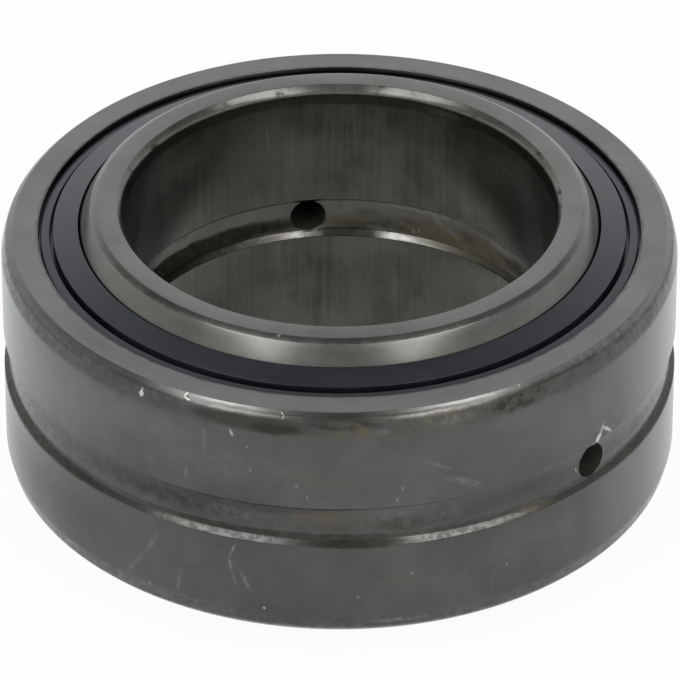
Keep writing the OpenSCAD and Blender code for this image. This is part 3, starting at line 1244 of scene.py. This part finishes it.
@dataclass
class InnerRing:
    """Steel ball ring with the shaft bore, a grease groove and two oil holes.

    Sizes are in millimetres, and bearings in degrees from +X.

    Attributes:
        bore_r: Radius of the bore.
        half: Half of the ring's width.
        ball_r: Radius of the ball.
        face_r: Outer radius of an end face.
        rim_r: Outer radius of the bevel.
        rim_z: Height at which the bevel meets the ball.
        chamfer: Chamfer at each end of the bore.
        groove_half: Half width of the groove at the bore.
        groove_depth: Depth of the groove.
        groove_flank: Axial run of a groove flank.
        hole_d: Diameter of the oil holes.
        hole_bearing: Bearing of the first oil hole.
    """

    bore_r: float = 15.0
    half: float = 11.0
    ball_r: float = 20.35
    face_r: float = 16.859
    rim_r: float = 17.279
    rim_z: float = 10.75
    chamfer: float = 0.45
    groove_half: float = 1.6
    groove_depth: float = 0.35
    groove_flank: float = 0.4
    hole_d: float = 2.5
    hole_bearing: float = 98.5

    def outline(self) -> list[Corner]:
        """Give the upper half of the section, from the groove round to the ball.

        Returns:
            The corners in order.
        """
        floor_r = self.bore_r + self.groove_depth
        ball_top = math.degrees(math.atan2(self.rim_z, self.rim_r))
        ball = arc(CENTRE, self.ball_r, ball_top, 0.0, 40)
        return [
            Corner(floor_r, 0.0),
            Corner(floor_r, self.groove_half - self.groove_flank, 0.03),
            Corner(self.bore_r, self.groove_half, 0.03),
            Corner(self.bore_r, self.half - self.chamfer, 0.30),
            Corner(self.bore_r + self.chamfer, self.half, 0.03),
            Corner(self.face_r, self.half, 0.08),
            Corner(ball[0].radius, ball[0].height, 0.06),
            *ball[1:],
        ]

    def zone_at(self, radius: float, height: float) -> InnerZone:
        """Give the zone at a radius and a height.

        Args:
            radius: Millimetres from the bore axis.
            height: Millimetres above the middle, below 0 at the lower end.

        Returns:
            The zone.
        """
        edge, level = 0.02, abs(height)
        if radius < self.bore_r + self.groove_depth + edge and level < self.groove_half + edge:
            return InnerZone.GROOVE
        if radius < self.bore_r + edge:
            return InnerZone.BORE
        if radius < self.bore_r + self.chamfer:
            return InnerZone.CHAMFER
        if level > self.half - edge:
            return InnerZone.FACE
        if level > self.rim_z:
            return InnerZone.RIM
        return InnerZone.BALL

    def build(self) -> bpy.types.Object:
        """Turn the ring and drill its oil holes.

        Returns:
            The piece, in millimetres.
        """
        zones = list(InnerZone)
        work = Workpiece("inner_ring_turned")
        work.turn(self.outline())
        work.mirror()
        work.mark_zones(self.zone_at, zones)
        piece = work.to_object(self.finishes())
        floor_r = self.bore_r + self.groove_depth
        mouth, rim = Workpiece.MOUTH, floor_r - Workpiece.PROUD
        steps = ((rim, mouth), (rim + mouth, 0.0), (self.ball_r + Workpiece.CLEAR, 0.0))
        drill = oil_drill(self.hole_d, self.hole_bearing, steps)
        Workpiece.cut(piece, drill, zones.index(InnerZone.HOLE))
        return piece

    def finishes(self) -> list[bpy.types.Material]:
        """Make the finish of each zone.

        Returns:
            The materials in the order of the zones.
        """
        finishes = {
            InnerZone.FACE: Steel(
                "inner_face_steel", (0.145, 0.146, 0.142), (0.190, 0.191, 0.185), tint=(0.155, 0.151, 0.136),
                lay=Lay.RINGS, pitch=0.14, rough=0.36, along="radius", reach=16.0,
                dirt_from=0.74, dirt_full=0.9, wander=0.3,
                marks=Mark.lay(Trace.GRIME_AND_SHADE, ((-34, 16.1), (34, 16.1), 3, 0.34, 1, 0.3)),
            ),
            InnerZone.RIM: Steel(
                "inner_rim_steel", (0.105, 0.104, 0.098), (0.145, 0.144, 0.136), cloud=(2.0, 2.0, 2.0),
                dirt_size=1.2, dirt_from=0.62, dirt_full=0.9, rough=0.24, along="radius", reach=17.0,
                marks=Mark.lay(Trace.SMEAR, ((-400, 17.28), (400, 17.28), 0.36, 0.3, 0.9, 0.4))
                + Mark.lay(Trace.BARE_AND_HIGHLIGHT, ((-14.1, 17.05), (-13.8, 17), 0.3, 0.8)),
            ),
            InnerZone.BALL: Steel(
                "ball_steel", (0.096, 0.095, 0.089), (0.140, 0.138, 0.130), lay=Lay.ALONG, pitch=0.3, run=6.0,
                line_share=0.6, rough=0.28, dirt_from=0.7, dirt_full=0.85,
                tint=(0.120, 0.110, 0.094), reach=18.0,
                # Painted shade on the ball next to the seal lip, and a lighter band near the rim that is
                # partly edge wear and partly painted light.
                marks=Mark.lay(Trace.GRIME_AND_SHADE, ((-400, 9.4), (400, 9.4), 0.8, 0.14, 0.9, 0.3))
                + Mark.lay(Trace.SMEAR, ((-400, 10.72), (400, 10.72), 0.9, 0.26, 1, 0.3)),
            ),
            InnerZone.CHAMFER: Steel(
                "bore_chamfer_steel", (0.090, 0.089, 0.082), (0.135, 0.132, 0.122), cloud=(2.0, 2.0, 2.0),
                dirt_size=1.4, dirt_from=0.55, dirt_full=0.72, rough=0.27, side="back", reach=15.0,
            ),
            InnerZone.BORE: Steel(
                "bore_steel", (0.042, 0.044, 0.036), (0.100, 0.101, 0.088), lay=Lay.ALONG, pitch=0.30,
                run=9.0, line_share=1.5, rough=0.24, metal=0.82, oil=0.3, dirt_from=0.72, dirt_full=0.9,
                side="back", reach=15.0, tint=(0.080, 0.078, 0.058), tint_share=0.4, marks=BORE_MARKS,
            ),
            InnerZone.GROOVE: Steel(
                "bore_groove_steel", (0.070, 0.069, 0.061), (0.110, 0.108, 0.097), dirt=Trace.BROWN,
                dirt_size=2.0, dirt_from=0.55, dirt_full=0.75, rough=0.24, side="back", reach=15.0,
                marks=BORE_GROOVE_MARKS,
            ),
            InnerZone.HOLE: Steel(
                "bore_oil_hole_steel", (0.018, 0.020, 0.015), (0.028, 0.030, 0.023), rough=0.45, metal=0.4,
                dirt_full=1.0,
            ),
        }
        return [finishes[zone].make() for zone in InnerZone]

    def dress(self, piece: bpy.types.Object) -> None:
        """Shade the ring and set it on its body.

        Args:
            piece: The ring, in millimetres.
        """
        Workpiece.finish(piece)
        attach(piece, "inner_ring")
        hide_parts("inner_ring")


# Seals


class End(Enum):
    """End of the bearing that a seal sits at."""

    UPPER = "upper_seal"
    LOWER = "lower_seal"


@dataclass
class Seal:
    """One-piece rubber seal with bead, flange, slot and a lip with two wiping edges.

    Sizes are in millimetres.

    Attributes:
        end: End of the bearing it sits at.
        foot_z: Height of the underside.
        bead_r: Outer radius of the bead.
        bead_z: Top of the bead.
        flange_r: Outer radius of the flange.
        flange_z: Top of the flange.
        flange_fall: Drop of the flange to its outer edge.
        slot_out_r: Outer radius of the slot.
        web_z: Floor of the slot.
        lip_r: Outer radius of the lip.
        lip_z: Height of the lip at its outer edge.
        tip_r: Radius of the wiping edge.
        tip_z: Height of the lip at its wiping edge.
        tip_foot_z: Height at which the wiping edge meets the ball.
        wipe_r: Radius of the back of the lip, which follows the ball.
        relief_r: Radius of the relief between the wiping edges.
    """

    end: End
    foot_z: float = 7.33
    bead_r: float = 21.34
    bead_z: float = 8.07
    flange_r: float = 20.76
    flange_z: float = 8.76
    flange_fall: float = 0.10
    slot_out_r: float = 20.13
    web_z: float = 7.95
    lip_r: float = 19.88
    lip_z: float = 9.05
    tip_r: float = 18.142
    tip_z: float = 9.50
    tip_foot_z: float = 9.33
    wipe_r: float = 20.40
    relief_r: float = 0.30

    def back(self) -> list[Corner]:
        """Give the back of the lip, from its foot up to the wiping edge, with the relief.

        Returns:
            The corners in order.
        """
        low = math.degrees(math.asin(self.foot_z / self.wipe_r))
        high = math.degrees(math.asin(self.tip_foot_z / self.wipe_r))
        middle = 0.5 * (low + high)
        half = math.degrees(2.0 * math.asin(0.5 * self.relief_r / self.wipe_r))
        spot = arc(CENTRE, self.wipe_r, middle, middle, 1)[0]
        opening = 90.0 - 0.5 * half
        relief = arc(spot, self.relief_r, middle - opening, middle + opening, 10)
        return [
            *arc(CENTRE, self.wipe_r, low, middle - half, 6)[:-1],
            *relief,
            *arc(CENTRE, self.wipe_r, middle + half, high, 6)[1:-1],
        ]

    def outline(self) -> list[Corner]:
        """Give the whole section, once round.

        Returns:
            The corners in order.
        """
        soft, fine = 0.02, 0.06
        return [
            *self.back(),
            Corner(self.tip_r, self.tip_foot_z),
            Corner(self.tip_r, self.tip_z, fine),
            Corner(self.lip_r, self.lip_z, soft),
            Corner(self.lip_r, self.web_z),
            Corner(self.slot_out_r, self.web_z),
            Corner(self.slot_out_r, self.flange_z, fine),
            Corner(self.flange_r, self.flange_z - self.flange_fall, fine),
            Corner(self.flange_r, self.bead_z),
            Corner(self.bead_r, self.bead_z, fine),
            Corner(self.bead_r, self.foot_z, fine),
        ]

    def build(self) -> bpy.types.Object:
        """Mould the seal at its end.

        Returns:
            The piece, in millimetres.
        """
        work = Workpiece(f"{self.end.value}_moulded")
        work.turn(self.outline(), closed=True)
        if self.end is End.LOWER:
            work.mirror(keep=False)
        return work.to_object([Rubber(f"{self.end.value}_rubber").make()])

    def dress(self, piece: bpy.types.Object) -> None:
        """Shade the seal and set it on its body.

        Args:
            piece: The seal, in millimetres.
        """
        Workpiece.finish(piece)
        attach(piece, "seals")
        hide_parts(self.end.value)


# Studio


def put(name: str, data: bpy.types.ID) -> bpy.types.Object:
    """Make an object of a mesh, lamp or camera and link it to the scene.

    Args:
        name: Name of the object.
        data: What it holds.

    Returns:
        The object.
    """
    holder = bpy.data.objects.new(name, data)
    bpy.context.scene.collection.objects.link(holder)
    return holder


@dataclass(frozen=True)
class Softbox:
    """A flat lamp beside the camera that faces the same way as the camera does.

    Attributes:
        name: Name of the lamp.
        aside: Metres to the right of the camera's line of sight.
        above: Metres above the line of sight.
        distance: Metres from the bearing along the line of sight.
        tilt: Degrees that the lamp looks down.
        width: Metres across.
        height: Metres up.
        roll: Degrees that its top leans to the left.
        power: Watts.
    """

    name: str
    aside: float
    above: float
    distance: float
    tilt: float
    width: float
    height: float
    roll: float
    power: float

    def hang(self) -> None:
        """Hang the lamp in the scene."""
        lamp = bpy.data.lights.new(self.name, "AREA")
        lamp.shape = "ELLIPSE"
        lamp.size = self.width
        lamp.size_y = self.height
        lamp.energy = self.power
        holder = put(self.name, lamp)
        lean = Matrix.Rotation(math.radians(90.0 - self.tilt), 4, "X")
        holder.location = lean @ Vector((self.aside, self.above, self.distance))
        holder.rotation_euler = (lean @ Matrix.Rotation(math.radians(self.roll), 4, "Z")).to_euler()


@dataclass(frozen=True)
class Studio:
    """Pale floor, soft light and the camera at the picture's viewing angle.

    Attributes:
        floor_z: Height of the floor in metres.
        floor_reach: Half of the floor's width in metres.
        floor_tone: Colour of the floor.
        floor_glow: Share of plain white that the camera sees in the floor.
        floor_sheen: Share of plain white that a shiny surface mirrors from the floor in front.
        floor_gain: How much lighter it mirrors the floor behind.
        floor_turn: Places along Y in metres between which that grows.
        backdrop_lean: How far the lit backdrop leans back as it rises.
        backdrop_edge: Direction forwards at which the backdrop starts and is full.
        horizon_edge: Direction upwards at which the light near the floor ends and is full.
        sweep: Brightness of the low and far surroundings.
        ceiling: Brightness overhead and behind the camera.
        elevation: Camera elevation in degrees.
        distance: Metres from the camera to the middle of the ball.
        lens: Focal length in millimetres.
        sensor: Width of the sensor in millimetres.
        near: Metres from which the camera sees.
        shift_x: Sideways shift of the frame.
        shift_y: Upward shift of the frame.
        lamps: The lamps.
    """

    floor_z: float = -0.01101
    floor_reach: float = 3.0
    floor_tone: Colour = (0.80, 0.80, 0.80)
    floor_glow: float = 0.95
    floor_sheen: float = 0.45
    floor_gain: float = 0.14
    floor_turn: Span = (-0.024, 0.014)
    backdrop_lean: float = 0.55
    backdrop_edge: Span = (-0.1, 0.65)
    horizon_edge: Span = (0.60, 0.10)
    sweep: float = 1.0
    ceiling: float = 0.30
    elevation: float = 33.94
    distance: float = 0.5215
    lens: float = 393.9
    sensor: float = 36.0
    near: float = 0.01
    shift_x: float = 0.00074
    shift_y: float = -0.00897
    lamps: tuple[Softbox, ...] = (
        Softbox("left_softbox", -0.37, 0.30, 0.55, 33.0, 0.38, 0.84, 15.0, 2.85),
        Softbox("right_softbox", 0.375, 0.30, 0.55, 33.0, 0.38, 0.84, -18.0, 2.85),
    )

    def lay_floor(self) -> None:
        """Lay the floor under the bearing."""
        bm = bmesh.new()
        ground = Matrix.Translation((0.0, 0.0, self.floor_z))
        bmesh.ops.create_grid(bm, x_segments=4, y_segments=4, size=self.floor_reach, matrix=ground)
        mesh = bpy.data.meshes.new("studio_floor")
        bm.to_mesh(mesh)
        bm.free()
        floor = put("studio_floor", mesh)
        bench = NodeBench(bpy.data.materials.new("studio_floor"))
        rays = bench.add("LightPath").outputs
        shiny = bench.math("MAXIMUM", rays["Is Glossy Ray"], rays["Is Transmission Ray"])
        seen = bench.math("MULTIPLY", rays["Is Camera Ray"], self.floor_glow)
        behind = bench.band(bench.split(bench.spot)[1], *self.floor_turn)
        sheen = bench.math("MULTIPLY_ADD", behind, self.floor_gain, self.floor_sheen)
        white = bench.math("MAXIMUM", seen, bench.math("MULTIPLY", shiny, sheen))
        mixed = bench.add("MixShader")
        layers = bench.add("BsdfDiffuse", Color=self.floor_tone), bench.add("Emission")
        for socket, value in zip(mixed.inputs, (white, *(layer.outputs[0] for layer in layers))):
            bench.feed(socket, value)
        bench.add("OutputMaterial", Surface=mixed.outputs[0])
        mesh.materials.append(bench.owner)

    def light_surroundings(self) -> None:
        """Light the surroundings: white low down and behind the bearing, dim elsewhere."""
        world = bpy.data.worlds.new("studio")
        bpy.context.scene.world = world
        bench = NodeBench(world, "Generated")
        _, ahead, up = bench.split(bench.spot)
        leaning = bench.math("MULTIPLY_ADD", up, -self.backdrop_lean, ahead)
        backdrop = bench.band(leaning, *self.backdrop_edge)
        lit = bench.math("MAXIMUM", backdrop, bench.band(up, *self.horizon_edge))
        level = bench.math("MULTIPLY_ADD", lit, self.sweep - self.ceiling, self.ceiling)
        glow = bench.add("Background", Color=(1.0, 1.0, 1.0), Strength=level)
        bench.add("OutputWorld", Surface=glow.outputs[0])

    def set_camera(self) -> None:
        """Set the camera where the picture was taken from."""
        camera = bpy.data.cameras.new("camera")
        camera.lens = self.lens
        camera.sensor_width = self.sensor
        camera.shift_x = self.shift_x
        camera.shift_y = self.shift_y
        camera.clip_start = self.near
        holder = put("camera", camera)
        up = math.radians(self.elevation)
        holder.location = (0.0, -self.distance * math.cos(up), self.distance * math.sin(up))
        holder.rotation_euler = (math.radians(90.0) - up, 0.0, 0.0)
        bpy.context.scene.camera = holder

    def build(self) -> None:
        """Set up the whole studio."""
        bpy.context.scene.view_settings.view_transform = "Standard"
        self.lay_floor()
        self.light_surroundings()
        for lamp in self.lamps:
            lamp.hang()
        self.set_camera()


# Main


def main() -> None:
    """Build the bearing piece by piece, log each piece's face count and set up the studio."""
    logging.basicConfig(level=logging.INFO, format="%(name)s: %(message)s")
    for part in (OuterRing(), InnerRing(), Seal(End.UPPER), Seal(End.LOWER)):
        piece = part.build()
        part.dress(piece)
        log.info("%s: %d faces", piece.name, len(piece.data.polygons))
    Studio().build()


if __name__ == "__main__":
    main()
